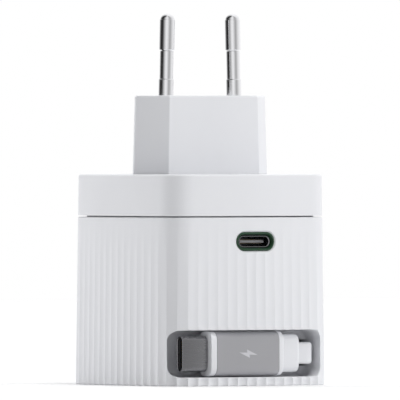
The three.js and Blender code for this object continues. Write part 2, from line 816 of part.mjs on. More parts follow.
add('cassette_base', 'reelPlastic', cassetteBase());
add('cassette_cover', 'reelPlastic', cassetteCover());
add('reel_arbor', 'steel', reelArbor());
add('reel_drum', 'reelPlastic', reelDrum());
add('main_spring', 'springSteel', mainSpring());
add('slip_ring', 'boardGreen', slipRing());
add('ratchet_pawl', 'blackPlastic', ratchetPawl());
[0, 1, 2].forEach((index) => {
  add(`brush_contact_${index + 1}`, 'brass', brushContact(index));
  add(`cassette_screw_${index + 1}`, 'steel', cassetteScrew(index));
});

add('insulation_sheet', 'fibreSheet', prism(roundedRectangle(37, 37, 4), board.z - 0.6, board.z - 0.3, 3));
add('main_board', 'boardGreen', mainBoard());
add('transformer_bobbin', 'blackPlastic', transformerBobbin());
add('transformer_core', 'ferrite', transformerCore());
add('transformer_winding', 'yellowTape', transformerWinding());
add('bulk_capacitor_1', 'canSleeve', can(11.5, 11.5, 5, 18));
add('bulk_capacitor_2', 'canSleeve', can(9.5, -1.5, 5, 18));
add('output_capacitor_1', 'canSleeve', can(4.2, -13.8, 3.15, 9));
add('output_capacitor_2', 'canSleeve', can(-2.8, -13.8, 3.15, 9));
add('choke_coil', 'copperWire', chokeCoil());
add('x_capacitor', 'yellowTape', slab(-8, -4.5, 12, 5, 11));
add('y_capacitor', 'blueCeramic', slab(15, -9.5, 2.6, 7, 7, 1.2));
add('fuse', 'blackPlastic', slab(-12.5, -14.5, 8, 3.6, 6));
add('bridge_rectifier', 'blackPlastic', slab(0.8, -8.6, 8, 2.4, 7));
add('switch_transistor', 'blackPlastic', slab(10, -13.5, 5, 6, 1.2));
add('heat_spreader', 'aluminium', heatSpreader());
add('usb_board', 'boardGreen', usbBoard());
add('board_header', 'blackPlastic', prism(rectangle(12, 1.2, 0, -17.6), seat, port.z - 3));

export default charger;
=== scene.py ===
import json
import math

import bmesh
import bpy
from mathutils import Matrix, Vector


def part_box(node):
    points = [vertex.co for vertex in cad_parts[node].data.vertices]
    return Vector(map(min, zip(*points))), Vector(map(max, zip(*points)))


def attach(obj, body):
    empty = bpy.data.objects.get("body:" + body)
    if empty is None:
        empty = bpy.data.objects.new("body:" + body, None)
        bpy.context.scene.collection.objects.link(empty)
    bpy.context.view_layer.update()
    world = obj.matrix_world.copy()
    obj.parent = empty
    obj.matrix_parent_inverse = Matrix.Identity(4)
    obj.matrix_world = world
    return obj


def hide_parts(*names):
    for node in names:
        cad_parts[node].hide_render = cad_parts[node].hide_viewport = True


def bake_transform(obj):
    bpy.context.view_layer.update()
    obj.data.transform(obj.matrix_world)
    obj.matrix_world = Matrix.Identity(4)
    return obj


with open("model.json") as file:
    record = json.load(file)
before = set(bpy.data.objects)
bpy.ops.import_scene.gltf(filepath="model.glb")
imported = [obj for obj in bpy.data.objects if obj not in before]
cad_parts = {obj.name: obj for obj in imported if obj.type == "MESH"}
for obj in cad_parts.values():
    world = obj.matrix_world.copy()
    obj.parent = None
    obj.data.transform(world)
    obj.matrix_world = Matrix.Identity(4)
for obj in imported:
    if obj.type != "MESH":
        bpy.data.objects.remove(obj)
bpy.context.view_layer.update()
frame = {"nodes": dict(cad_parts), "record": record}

# A European wall charger with a retractable USB-C cable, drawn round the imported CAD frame.
# Lengths are in millimetres up to new_object(), which turns them into metres.

MM = 0.001
TURN = 2 * math.pi


def box_of(node):
    """The lowest and highest corners of a CAD node, in millimetres."""
    low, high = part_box(node)
    return low / MM, high / MM


# ---------------------------------------------------------------- places and sizes

GAP = 0.3  # the CAD's clearance between pieces
HAIRLINE = 0.03  # what shows of that clearance where two pieces look joined
WALL = 1.8

FACE_RADIUS = 115  # the four faces are slightly bulged
CORNER_RADIUS = 7
HALF = box_of("lower_shell")[1].x
SEAM = box_of("lower_shell")[1].z
CAP_FLOOR = SEAM + GAP
CAP_TOP = box_of("top_cap")[1].z
DRAFT = (HALF - box_of("top_cap")[1].x) / CAP_FLOOR  # how far the walls lean in, per unit of height

FLUTES = 66
FLUTE_DEPTH = 0.45
FLUTE_TOP = 31
FLUTE_STEPS = 8

BAY_LEFT = -21.75
BAY_RIGHT = 19.35
BAY_FLOOR = 2
BAY_ROOF = 12.9
BAY_BACK = -14.5
BAY_CORNER = 2.4
BAY_WALL = 1.2
BAY_BEVEL = (0.25, 0.35)  # its width on the face and its depth
SLOT_MARGIN = 0.6  # round the cable, where it passes the bay's back wall

PLUG_TOP = box_of("plug_body")[1].z
PLUG_WIDTH = 35.9  # at the top; the block flares towards the cap
PLUG_DEPTH = 11.6
PLUG_FRONT = 24.4
PLUG_SIDE = 0.6
PLUG_FLARE = 1.036
PLUG_CORNER = 0.5
FLANGE = 1.6
FLANGE_REACH = 1.4
HOLLOW_WIDTH = 14
HOLLOW_DEPTH = 7.2
PLUG_ROOF = 2  # of solid plastic between the hollow and the top face

PIN_LENGTH = 19
PIN_SPACING = 18.9
PIN_TIP_SPACING = 18
PIN_TIP = 1.8
PIN_NECK = 1.6
PIN_ROOT = 1.75
PIN_CORE = 1.2
SLEEVE_TOP = 10.4
ROOT_TOP = 3.8

bezel_low, bezel_high = box_of("port_bezel")
socket_low, socket_high = box_of("port_shell")
PORT_Z = (bezel_low.z + bezel_high.z) / 2
PORT_BEVEL = (0.35, 0.3)

tube_low, tube_high = box_of("usb_plug_shell")
sleeve_low, sleeve_high = box_of("grip_sleeve")
HEAD_Y = (sleeve_low.y + sleeve_high.y) / 2
HEAD_Z = (sleeve_low.z + sleeve_high.z) / 2
HEAD_THICKNESS = sleeve_high.y - sleeve_low.y
HEAD_HEIGHT = sleeve_high.z - sleeve_low.z
HEAD_CORNER = 2.0
SHEET = 0.3  # the steel of both USB-C shells
CONTACTS = 12  # in each row, in the port and in the connector
CONTACT_PITCH = 0.5

coil_low, coil_high = box_of("cable_coil")
CABLE_THICKNESS = 1.3
CABLE_WIDTH = coil_high.z - coil_low.z
bend_high = box_of("cable_bend")[1]
BEND_RADIUS = bend_high.y - HEAD_Y
RUN_X = bend_high.x - CABLE_THICKNESS / 2
COIL_OUTER = (coil_high.x - coil_low.x) / 2
COIL_INNER = 5.7
REEL = Vector(((coil_low.x + coil_high.x) / 2, (coil_low.y + coil_high.y) / 2))
BEND_TOP = Vector((RUN_X, HEAD_Y + BEND_RADIUS))  # where the straight stretch ends and the bend begins
WINDING = COIL_OUTER - CABLE_THICKNESS / 2  # the radius of the outermost turn, at its middle

# ---------------------------------------------------------------- mesh helpers


def new_object(name, points, faces):
    mesh = bpy.data.meshes.new(name)
    mesh.from_pydata([tuple(Vector(point) * MM) for point in points], [], faces)
    mesh.update()
    piece = bpy.data.objects.new(name, mesh)
    bpy.context.scene.collection.objects.link(piece)
    return piece


def edit(piece, change):
    """Runs a change on the piece's mesh through bmesh."""
    build = bmesh.new()
    build.from_mesh(piece.data)
    change(build)
    build.to_mesh(piece.data)
    build.free()


def face_outward(build):
    bmesh.ops.recalc_face_normals(build, faces=build.faces)
    if build.calc_volume(signed=True) < 0:
        bmesh.ops.reverse_faces(build, faces=build.faces)


def loft(name, rings, closed=False):
    """A solid through rings with the same number of points. A closed one runs back to its first ring."""
    count = len(rings[0])
    faces = []
    for band in range(len(rings) if closed else len(rings) - 1):
        here = band * count
        there = (band + 1) % len(rings) * count
        for i in range(count):
            j = (i + 1) % count
            faces.append((here + i, here + j, there + j, there + i))
    if not closed:
        last = (len(rings) - 1) * count
        faces.append(tuple(reversed(range(count))))
        faces.append(tuple(range(last, last + count)))
    piece = new_object(name, [point for ring in rings for point in ring], faces)
    edit(piece, face_outward)
    return piece


def boolean(piece, tool, operation="DIFFERENCE"):
    """Cuts, joins or intersects a piece with a tool, which is used up."""
    modifier = piece.modifiers.new("cut", "BOOLEAN")
    modifier.operation = operation
    modifier.solver = "MANIFOLD"
    modifier.object = tool
    graph = bpy.context.evaluated_depsgraph_get()
    result = bpy.data.meshes.new_from_object(piece.evaluated_get(graph))
    piece.modifiers.clear()
    piece.data = result
    bpy.data.objects.remove(tool)
    return piece


def block(low, high):
    """A plain box, only used as a cutting tool or as one contact of a row."""
    corners = [(low[0], low[1]), (high[0], low[1]), (high[0], high[1]), (low[0], high[1])]
    return loft("block", [[(x, y, z) for x, y in corners] for z in (low[2], high[2])])


def joined(name, parts):
    """Several separate solids as one piece."""
    build = bmesh.new()
    for part in parts:
        build.from_mesh(part.data)
        bpy.data.objects.remove(part)
    mesh = bpy.data.meshes.new(name)
    build.to_mesh(mesh)
    build.free()
    piece = bpy.data.objects.new(name, mesh)
    bpy.context.scene.collection.objects.link(piece)
    return piece


def weld(build):
    bmesh.ops.remove_doubles(build, verts=build.verts, dist=1e-7)
    bmesh.ops.dissolve_degenerate(build, edges=build.edges, dist=1e-7)


def place(piece, slot, body=None, instead_of=(), sharp=22):
    """The last step for a piece: shading, finish, the CAD nodes it stands for and the body it rides on."""
    edit(piece, weld)
    piece.data.shade_smooth()
    piece.data.set_sharp_from_angle(angle=math.radians(sharp))
    piece.data.materials.clear()
    piece.data.materials.append(finish(slot))
    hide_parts(*instead_of)
    if body:
        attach(piece, body)
    return piece


def rounded_rectangle(width, height, radius, steps=8, between=1):
    """Points round the origin, each with the direction that it faces: (across, up, facing across, facing up).

    Each corner has steps stretches, and each straight side between two corners has between stretches.
    """
    points = []
    for corner in range(4):
        side = (1, 1, -1, -1)[corner]
        rise = (-1, 1, 1, -1)[corner]
        centre = Vector((side * (width / 2 - radius), rise * (height / 2 - radius)))
        for step in range(steps + 1):
            angle = (corner - 1 + step / steps) * math.pi / 2
            facing = Vector((math.cos(angle), math.sin(angle)))
            points.append((*(centre + facing * radius), *facing))
        length = (height if corner % 2 == 0 else width) - 2 * radius
        for step in range(1, between):
            along = Vector((-facing.y, facing.x)) * length * step / between
            points.append((*(centre + facing * radius + along), *facing))
    return points


def obround(width, height, steps=8, between=1):
    return rounded_rectangle(width, height, min(width, height) / 2, steps, between)


def quarter_round(radius, steps=5):
    """(inset, rise) pairs of a rounded edge, from the upright side to the flat top."""
    pairs = []
    for step in range(steps + 1):
        angle = step / steps * math.pi / 2
        pairs.append((radius * (1 - math.cos(angle)), radius * math.sin(angle)))
    return pairs


def turned(name, profile, segments=48, where=Matrix.Identity(4), closed=False):
    """(radius, height) pairs turned about Z, then moved to their place. A closed profile makes a tube."""
    angles = [i / segments * TURN for i in range(segments)]
    rings = []
    for radius, height in profile:
        rings.append([where @ Vector((radius * math.cos(a), radius * math.sin(a), height)) for a in angles])
    return loft(name, rings, closed)


def along_x(levels, y, z):
    """Rings of a piece that lies along X, from (x, outline) pairs. An outline's points are (in y, in z)."""
    return [[Vector((x, y + point[0], z + point[1])) for point in outline] for x, outline in levels]


# ---------------------------------------------------------------- the outline of the body

FACE_CENTRE = FACE_RADIUS - HALF
CORNER_CENTRE = (math.sqrt(2 * (FACE_RADIUS - CORNER_RADIUS) ** 2 - FACE_CENTRE**2) - FACE_CENTRE) / 2
FACE_ANGLE = math.atan2(CORNER_CENTRE, CORNER_CENTRE + FACE_CENTRE)
HALF_FACE = FACE_RADIUS * FACE_ANGLE
QUARTER = 2 * HALF_FACE + CORNER_RADIUS * (math.pi / 2 - 2 * FACE_ANGLE)


def outline_at(turn):
    """A point of the outline and the direction it faces, for a turn of 0 to 1 measured along the outline."""
    side = round(turn * 4)
    along = (turn * 4 - side) * QUARTER
    sign = math.copysign(1, along)
    beyond = max(abs(along) - HALF_FACE, 0)
    angle = sign * (min(abs(along), HALF_FACE) / FACE_RADIUS + beyond / CORNER_RADIUS)
    radius, x, y = FACE_RADIUS, -FACE_CENTRE, 0
    if beyond:
        radius, x, y = CORNER_RADIUS, CORNER_CENTRE, sign * CORNER_CENTRE
    point = Vector((x + radius * math.cos(angle), y + radius * math.sin(angle)))
    point.rotate(Matrix.Rotation(side * math.pi / 2, 2))
    return point, angle + side * math.pi / 2


def body_ring(z, inset=0.0, flute_depth=0.0):
    """One level of the body, drawn in by inset. Each flute is a shallow hollow between two sharp crests."""
    scale = 1 - DRAFT * z / HALF
    points = []
    for i in range(FLUTES * FLUTE_STEPS):
        point, facing = outline_at((i / FLUTE_STEPS + 0.5) / FLUTES)
        across = 2 * (i % FLUTE_STEPS) / FLUTE_STEPS - 1
        inward = inset + flute_depth * (1 - across**2)
        x = point.x * scale - math.cos(facing) * inward
        y = point.y * scale - math.sin(facing) * inward
        points.append(Vector((x, y, z)))
    return points


def front_at(x, z):
    """Where the smooth front face lies at x and z, and how squarely it faces forwards, from 0 to 1."""
    scale = 1 - DRAFT * z / HALF
    x = abs(x) / scale
    if x <= FACE_RADIUS * math.sin(FACE_ANGLE):
        return -(math.sqrt(FACE_RADIUS**2 - x * x) - FACE_CENTRE) * scale, 1.0
    square_on = math.sqrt(max(1 - ((x - CORNER_CENTRE) / CORNER_RADIUS) ** 2, 0.01))
    return -(CORNER_CENTRE + CORNER_RADIUS * square_on) * scale, square_on


def front_cutter(outline, x0, z0, edge, depth, deeper):
    """A tool for an opening in the front: a bevel that follows the face, then the rings given as deeper.

    The bevel is edge wide on the face and depth deep, and runs on outside it. Each of deeper is (inset, y).
    """
    run_on = 3  # times the bevel's own length
    clearance = 5
    outer, lip, inner = [], [], []
    for across, up, facing_x, facing_z in outline:
        x, z = x0 + across, z0 + up
        y, square_on = front_at(x, z)
        inside = Vector((x, y + depth * square_on, z))
        lip_x, lip_z = x + facing_x * edge * square_on, z + facing_z * edge
        rim = Vector((lip_x, front_at(lip_x, lip_z)[0], lip_z))
        inner.append(inside)
        lip.append(rim)
        outer.append(rim + (rim - inside) * run_on)
    clear = [Vector((point.x, -HALF - clearance, point.z)) for point in outer]
    rings = [clear, outer, lip, inner]
    for inset, y in deeper:
        rings.append([
            Vector((x0 + across - facing_x * inset, y, z0 + up - facing_z * inset))
            for across, up, facing_x, facing_z in outline
        ])
    return loft("front_cutter", rings)


# ---------------------------------------------------------------- finishes
#
# Every finish is a Principled shader whose colour and bump vary in three dimensions; in most of them the
# roughness varies too.


class Finish:
    """A material under construction: its node tree and shader, and short ways to link them."""

    def __init__(self, name, roughness, **sockets):
        self.material = bpy.data.materials.new(name)
        self.material.use_nodes = True
        self.tree = self.material.node_tree
        self.shader = self.tree.nodes["Principled BSDF"]
        self.shader.inputs["Roughness"].default_value = roughness
        for socket, value in sockets.items():
            self.shader.inputs[socket.replace("_", " ")].default_value = value
        coordinates = self.tree.nodes.new("ShaderNodeTexCoord")
        self.place = coordinates.outputs["Object"]

    def node(self, kind, values=(), **links):
        """A new node. values sets its inputs and settings by name, and links joins outputs to its inputs."""
        made = self.tree.nodes.new(kind)
        for key, value in dict(values).items():
            if key in made.inputs:
                made.inputs[key].default_value = value
            else:
                setattr(made, key, value)
        for key, output in links.items():
            self.tree.links.new(output, made.inputs[key])
        return made

    def stretched(self, x, y, z):
        """The place of a point, scaled along each axis, for streaks and grain."""
        mapping = self.node("ShaderNodeMapping", {"Scale": (x, y, z)}, Vector=self.place)
        return mapping.outputs["Vector"]

    def noise(self, scale, detail=2.0, place=None):
        """Noise that repeats about scale times in a metre."""
        values = {"Scale": scale, "Detail": detail}
        made = self.node("ShaderNodeTexNoise", values, Vector=place or self.place)
        return made.outputs["Fac"]

    def ramp(self, factor, *stops):
        """A colour ramp with (position, colour) stops."""
        made = self.node("ShaderNodeValToRGB", {}, Fac=factor)
        elements = made.color_ramp.elements
        while len(elements) < len(stops):
            elements.new(1.0)
        for element, (position, colour) in zip(elements, stops):
            element.position = position
            element.color = (*colour, 1)
        return made.outputs["Color"]

    def colour(self, output):
        self.tree.links.new(output, self.shader.inputs["Base Color"])

    def roughness(self, factor, low, high):
        spread = self.node("ShaderNodeMapRange", {"To Min": low, "To Max": high}, Value=factor)
        self.tree.links.new(spread.outputs["Result"], self.shader.inputs["Roughness"])

    def bump(self, height, depth, strength=0.5):
        """A bump whose full height is depth, in metres."""
        made = self.node("ShaderNodeBump", {"Distance": depth, "Strength": strength}, Height=height)
        self.tree.links.new(made.outputs["Normal"], self.shader.inputs["Normal"])


def shade(colour, amount):
    return tuple(channel * amount for channel in colour)


def moulded(name, colour, roughness=0.42, grain=2600, texture=0.00001, spread=0.015, **sockets):
    """Moulded plastic: a fine spark-eroded grain, slight flow marks and patches of uneven gloss."""
    made = Finish(name, roughness, **sockets)
    flow = made.noise(55, 3.0, made.stretched(1, 1, 0.35))
    made.colour(made.ramp(flow, (0.3, shade(colour, 1 - spread)), (0.7, shade(colour, 1 + spread))))
    made.roughness(made.noise(180, 3.0), roughness - 0.05, roughness + 0.06)
    made.bump(made.noise(grain, 3.0), texture)
    return made.material


def metal(name, colour, roughness, streaks=(1, 1, 1), texture=0.000002, spread=0.06, scale=3000):
    """Bare metal with a drawn or turned grain that runs where streaks is smallest."""
    made = Finish(name, roughness, Metallic=1.0)
    grain = made.noise(scale, 4.0, made.stretched(*streaks))
    made.colour(made.ramp(grain, (0.3, shade(colour, 1 - spread)), (0.7, shade(colour, 1 + spread / 2))))
    made.roughness(grain, roughness * 0.8, roughness * 1.25)
    made.bump(grain, texture)
    return made.material


def laminate(name):
    """A circuit board: green solder mask over faint copper tracks, with glass weave under it."""
    made = Finish(name, 0.35, Coat_Weight=0.3)
    tracks = made.node("ShaderNodeTexBrick", {
        "Color1": (0.010, 0.085, 0.035, 1),
        "Color2": (0.013, 0.10, 0.042, 1),
        "Mortar": (0.013, 0.105, 0.043, 1),
        "Mortar Size": 0.03,
        "Scale": 260,
    }, Vector=made.place)
    made.colour(tracks.outputs["Color"])
    weave = made.node("ShaderNodeTexWave", {"Scale": 900, "Distortion": 0.5}, Vector=made.place)
    made.bump(weave.outputs["Fac"], 0.00001)
    return made.material


def sintered(name):
    """Ferrite: dull, near black and grainy, with chipped pale specks."""
    made = Finish(name, 0.7)
    dark, worn, chipped = (0.022, 0.022, 0.025), (0.055, 0.055, 0.06), (0.16, 0.16, 0.16)
    specks = made.noise(2200, 5.0)
    made.colour(made.ramp(specks, (0.35, dark), (0.72, worn), (0.8, chipped)))
    made.bump(specks, 0.00003)
    return made.material


def wound(name, colour, pitch, metallic=0.0, roughness=0.45):
    """Layers of tape or turns of wire: bands pitch metres wide, each rounded and slightly uneven, with
    painted shade that darkens each band towards the creases between turns.
    """
    made = Finish(name, roughness, Metallic=metallic)
    bands = made.node("ShaderNodeTexWave", {
        "Scale": 1 / (pitch * TURN),
        "Distortion": 0.4,
        "bands_direction": "Z",
        "wave_profile": "SIN",
    }, Vector=made.place).outputs["Fac"]
    # painted shade: the colour falls to under half in the crease between two turns, where shade would fall
    made.colour(made.ramp(bands, (0.05, shade(colour, 0.45)), (0.4, shade(colour, 0.9)), (0.9, colour)))
    made.roughness(made.noise(700), roughness - 0.1, roughness + 0.1)
    made.bump(bands, 0.00008)
    return made.material


def can_sleeve(name):
    """A capacitor's shrink sleeve: dark, glossy and slightly rippled."""
    made = Finish(name, 0.3, Coat_Weight=0.4)
    ripple = made.noise(300, 2.0, made.stretched(1, 1, 0.2))
    made.colour(made.ramp(ripple, (0.3, (0.012, 0.02, 0.035)), (0.7, (0.022, 0.034, 0.055))))
    made.bump(ripple, 0.00004)
    return made.material


def fibre(name):
    """A pale fibre sheet with loose strands."""
    made = Finish(name, 0.75)
    strands = made.noise(1500, 6.0, made.stretched(1, 0.25, 1))
    made.colour(made.ramp(strands, (0.3, (0.52, 0.47, 0.32)), (0.7, (0.70, 0.66, 0.50))))
    made.bump(strands, 0.00003)
    return made.material


WHITE = (0.86, 0.868, 0.895)
MAKERS = {
    "white_plastic": lambda name: moulded(name, WHITE, 0.45),
    "plug_plastic": lambda name: moulded(name, WHITE, 0.42),
    "cable_jacket": lambda name: moulded(name, WHITE, 0.6, grain=5000, texture=0.00002),
    "emblem_print": lambda name: moulded(name, (0.66, 0.66, 0.69), 0.6),
    "grip_grey": lambda name: moulded(name, (0.5, 0.5, 0.52), 0.45, grain=6000, Metallic=0.7),
    "port_green": lambda name: moulded(name, (0.017, 0.056, 0.026), 0.4),
    "tongue_grey": lambda name: moulded(name, (0.30, 0.30, 0.31), 0.5),
    "black_plastic": lambda name: moulded(name, (0.018, 0.018, 0.020), 0.5, spread=0.1),
    "reel_plastic": lambda name: moulded(name, (0.27, 0.29, 0.32), 0.5, spread=0.03),
    "pin_metal": lambda name: metal(name, (0.88, 0.88, 0.89), 0.16, (1, 1, 12)),
    "pin_sleeve": lambda name: metal(name, (0.88, 0.88, 0.89), 0.18, (1, 1, 12)),
    "connector_steel": lambda name: metal(
        name, (0.28, 0.28, 0.29), 0.26, (0.1, 1, 1), texture=0.0000005, spread=0.03,
    ),
    "small_steel": lambda name: metal(name, (0.42, 0.43, 0.46), 0.3, (0.2, 1, 1)),
    "contact_brass": lambda name: metal(name, (0.62, 0.42, 0.13), 0.3, (0.3, 1, 1)),
    "heat_aluminium": lambda name: metal(name, (0.55, 0.57, 0.60), 0.35, (0.05, 1, 1), scale=1500),
    "board_laminate": laminate,
    "ferrite": sintered,
    "winding_tape": lambda name: wound(name, (0.72, 0.48, 0.05), 0.0012),
    "copper_winding": lambda name: wound(name, (0.48, 0.18, 0.06), 0.0005, metallic=0.7, roughness=0.35),
    "can_sleeve": can_sleeve,
    "blue_ceramic": lambda name: moulded(
        name, (0.03, 0.15, 0.42), 0.4, grain=1200, texture=0.00004, spread=0.08,
    ),
    "fibre_sheet": fibre,
}
finished = {}


def finish(slot):
    """The finish of a slot, made once. The CAD brings flat materials with the slots' own names."""
    if slot not in finished:
        finished[slot] = MAKERS[slot](f"{slot}_finish")
    return finished[slot]


# ---------------------------------------------------------------- the housing


def bay_box():
    """The walls round the bay, before it is cut out: the front of the body up to the bay's ceiling."""
    roof = BAY_ROOF + BAY_WALL
    walls = loft("bay_box", [body_ring(WALL / 2, WALL / 2), body_ring(roof, WALL / 2)])
    front = block((-HALF, -HALF, 0), (HALF, BAY_BACK + BAY_WALL, roof + 1))
    return boolean(walls, front, "INTERSECT")


def bay_cutter():
    cove = 1.2  # rounds the bay's inner corners
    height = BAY_ROOF - BAY_FLOOR
    outline = rounded_rectangle(BAY_RIGHT - BAY_LEFT, height, BAY_CORNER, 8, 32)
    back = [(inset, BAY_BACK - cove + rise) for inset, rise in quarter_round(cove)]
    return front_cutter(outline, (BAY_LEFT + BAY_RIGHT) / 2, BAY_FLOOR + height / 2, *BAY_BEVEL, back)


def cable_slot_cutter():
    """The slot at the bay's right end that lets the cable through its back wall."""
    reach = CABLE_WIDTH / 2 + SLOT_MARGIN
    low = (RUN_X - CABLE_THICKNESS, BAY_BACK - 1, HEAD_Z - reach)
    high = (BAY_RIGHT, BAY_BACK + BAY_WALL + 1, HEAD_Z + reach)
    return block(low, high)


def port_cutter():
    width = bezel_high.x - bezel_low.x + 2 * HAIRLINE
    height = bezel_high.z - bezel_low.z + 2 * HAIRLINE
    return front_cutter(obround(width, height, 10, 4), 0, PORT_Z, *PORT_BEVEL, [(0, bezel_high.y + 1)])


def lower_shell():
    edge = 0.25
    outside = [
        body_ring(0, edge, FLUTE_DEPTH),
        body_ring(edge, 0, FLUTE_DEPTH),
        body_ring(FLUTE_TOP),
        body_ring(SEAM - edge),
        body_ring(SEAM, edge),
    ]
    inside = [body_ring(SEAM, WALL), body_ring(WALL, WALL)]
    shell = loft("fluted_shell", outside + inside)
    boolean(shell, bay_box(), "UNION")
    for cutter in (bay_cutter, cable_slot_cutter, port_cutter):
        boolean(shell, cutter())
    place(shell, "white_plastic", "housing", ["lower_shell"])


def plug_outline(scale, grow, radius, steps=4):
    """The plug's eight-sided outline in plan, with rounded corners."""
    x, y = PLUG_WIDTH / 2 * scale + grow, PLUG_DEPTH / 2 * scale + grow
    front, side = PLUG_FRONT / 2 * scale + grow / 2, PLUG_SIDE / 2 * scale + grow / 2
    quarter = [Vector((x, side)), Vector((front, y))]
    corners = quarter + [Vector((-p.x, p.y)) for p in reversed(quarter)]
    corners += [Vector((-p.x, -p.y)) for p in corners]
    points = []
    for i, corner in enumerate(corners):
        before = (corners[i - 1] - corner).normalized()
        after = (corners[(i + 1) % len(corners)] - corner).normalized()
        half_angle = before.angle(after) / 2
        centre = corner + (before + after).normalized() * radius / math.sin(half_angle)
        start = corner + before * radius / math.tan(half_angle) - centre
        sweep = math.pi - 2 * half_angle
        for step in range(steps + 1):
            arm = start.copy()
            arm.rotate(Matrix.Rotation(sweep * step / steps, 2))
            points.append(centre + arm)
    return points


def plug_ring(z, scale, grow=0.0):
    """One level of the plug. Its corners get rounder as it grows and sharper as it shrinks."""
    radius = min(max(PLUG_CORNER + grow, 0.04), 1)
    return [Vector((p.x, p.y, z)) for p in plug_outline(scale, grow, radius)]


def top_cap():
    edge = 0.5
    seam_edge = 0.08
    overlap = 2  # how far the cap's lip reaches down inside the shell
    lip = WALL + GAP
    top = [(CAP_TOP - edge + rise, inset) for inset, rise in quarter_round(edge)]
    levels = list(reversed(top)) + [
        (CAP_FLOOR + seam_edge, 0),
        (CAP_FLOOR, seam_edge),
        (CAP_FLOOR, lip),
        (CAP_FLOOR - overlap, lip),
        (CAP_FLOOR - overlap, lip + 1),
        (CAP_TOP - WALL, lip + 1),
    ]
    cap = loft("cap", [body_ring(z, inset) for z, inset in levels])
    heights = (CAP_TOP - WALL - 1, CAP_TOP + 1)
    hole = loft("plug_hole", [plug_ring(z, PLUG_FLARE, HAIRLINE * 2) for z in heights])
    place(boolean(cap, hole), "white_plastic", "housing", ["top_cap"])


def pin_place(side):
    """Where a pin stands: on the plug's top face, leaning towards the other one."""
    lean = math.atan2((PIN_SPACING - PIN_TIP_SPACING) / 2, PIN_LENGTH)
    return Matrix.Translation((side * PIN_SPACING / 2, 0, PLUG_TOP)) @ Matrix.Rotation(-side * lean, 4, "Y")


def plug_body():
    """A flange held under the cap, the flared block on it, its hollow and the bores for the pins."""
    edge = 0.45
    flange_top = CAP_TOP - WALL - GAP
    flange_bottom = flange_top - FLANGE
    levels = [
        (flange_bottom, PLUG_FLARE, FLANGE_REACH),
        (flange_top, PLUG_FLARE, FLANGE_REACH),
        (flange_top, PLUG_FLARE, 0),
    ]
    levels += [(PLUG_TOP - edge + rise, 1, -inset) for inset, rise in quarter_round(edge)]
    plug = loft("plug_block", [plug_ring(z, scale, grow) for z, scale, grow in levels])

    across, deep = HOLLOW_WIDTH / 2, HOLLOW_DEPTH / 2
    boolean(plug, block((-across, -deep, flange_bottom - 1), (across, deep, PLUG_TOP - PLUG_ROOF)))

    rim = 0.25
    radius = PIN_ROOT + HAIRLINE
    depth = PLUG_TOP - flange_bottom + 2
    bore = [(radius, -depth), (radius, -rim), (radius + rim, 0), (radius + rim + 1, 1)]
    for side in (-1, 1):
        boolean(plug, turned("bore", bore, 48, pin_place(side)))
    place(plug, "plug_plastic", "housing", ["plug_body"])


def pin_core():
    """The metal of a pin, from inside the charger to its domed tip: (radius, height) pairs."""
    tail = box_of("pin_left")[0].z - PLUG_TOP
    groove = 0.1  # between the sleeve and the tip
    dome_height = 1.4
    dome_edge = 0.06
    dome_radius = PIN_TIP - 2 * dome_edge
    shoulder = PIN_LENGTH - dome_height
    profile = [
        (PIN_CORE, tail),
        (PIN_CORE, SLEEVE_TOP + groove),
        (PIN_TIP - 0.15, SLEEVE_TOP + groove),
        (PIN_TIP, SLEEVE_TOP + 0.3),
        (PIN_TIP, shoulder),
    ]
    steps = 9
    for step in range(steps):
        angle = step / steps * math.pi / 2
        rise = dome_edge + (dome_height - dome_edge) * math.sin(angle)
        profile.append((dome_radius * math.cos(angle), shoulder + rise))
    return profile + [(0.05, PIN_LENGTH - 0.01)]


def pin_jacket():
    """The tube round a pin, with its thick root and thinner neck: (radius, height) pairs."""
    bore = PIN_CORE + HAIRLINE
    bottom = -8
    root_edge = 0.08
    neck_edge = 0.12
    return [
        (bore, bottom),
        (PIN_ROOT, bottom),
        (PIN_ROOT, ROOT_TOP - 0.1),
        (PIN_ROOT - root_edge, ROOT_TOP),
        (PIN_NECK, ROOT_TOP + 0.05),
        (PIN_NECK, SLEEVE_TOP - neck_edge),
        (PIN_NECK - neck_edge, SLEEVE_TOP),
        (bore, SLEEVE_TOP),
    ]


def pins():
    for name, side in (("left", -1), ("right", 1)):
        where = pin_place(side)
        core = turned(f"pin_core_{name}", pin_core(), 64, where)
        place(core, "pin_metal", "housing", [f"pin_{name}"], sharp=20)
        jacket = turned(f"pin_jacket_{name}", pin_jacket(), 64, where, closed=True)
        place(jacket, "pin_sleeve", "housing", [f"pin_sleeve_{name}"])


# ---------------------------------------------------------------- the fixed port


def front_ring(width, height, depth, follow=True):
    """A level of a piece in the port: an obround about its middle, set back from the face or at a fixed y."""
    ring = []
    for across, up, *_ in obround(width, height, 10, 4):
        z = PORT_Z + up
        y = front_at(across, z)[0] + depth if follow else depth
        ring.append(Vector((across, y, z)))
    return ring


def port_bezel():
    """The green lining: a rounded lip on the body's face, then a wall that runs back inside."""
    width, height = bezel_high.x - bezel_low.x, bezel_high.z - bezel_low.z
    back = bezel_high.y
    thickness = 0.65
    # Each level of the lip is (inset, depth behind the face).
    lip = [(0, 0.12), (0.1, 0.03), (0.32, 0.0), (0.4, 0.05), (thickness, 0.75)]
    rings = [front_ring(width, height, back, False)]
    for inset, depth in lip:
        rings.append(front_ring(width - 2 * inset, height - 2 * inset, depth))
    rings.append(front_ring(width - 2 * thickness, height - 2 * thickness, back, False))
    place(loft("bezel_ring", rings, closed=True), "port_green", "housing", ["port_bezel"], sharp=35)


def port_shell():
    """The port's steel shell, open to the front, with a rounded front edge."""
    width, height = socket_high.x - socket_low.x, socket_high.z - socket_low.z
    front, back = socket_low.y, socket_high.y
    edge = 0.1
    levels = [
        (0, back),
        (0, front + edge),
        (edge, front),
        (SHEET - edge, front),
        (SHEET, front + edge),
        (SHEET, back - SHEET),
    ]
    rings = [front_ring(width - 2 * inset, height - 2 * inset, y, False) for inset, y in levels]
    place(loft("socket_shell", rings), "connector_steel", "housing", ["port_shell"], sharp=35)


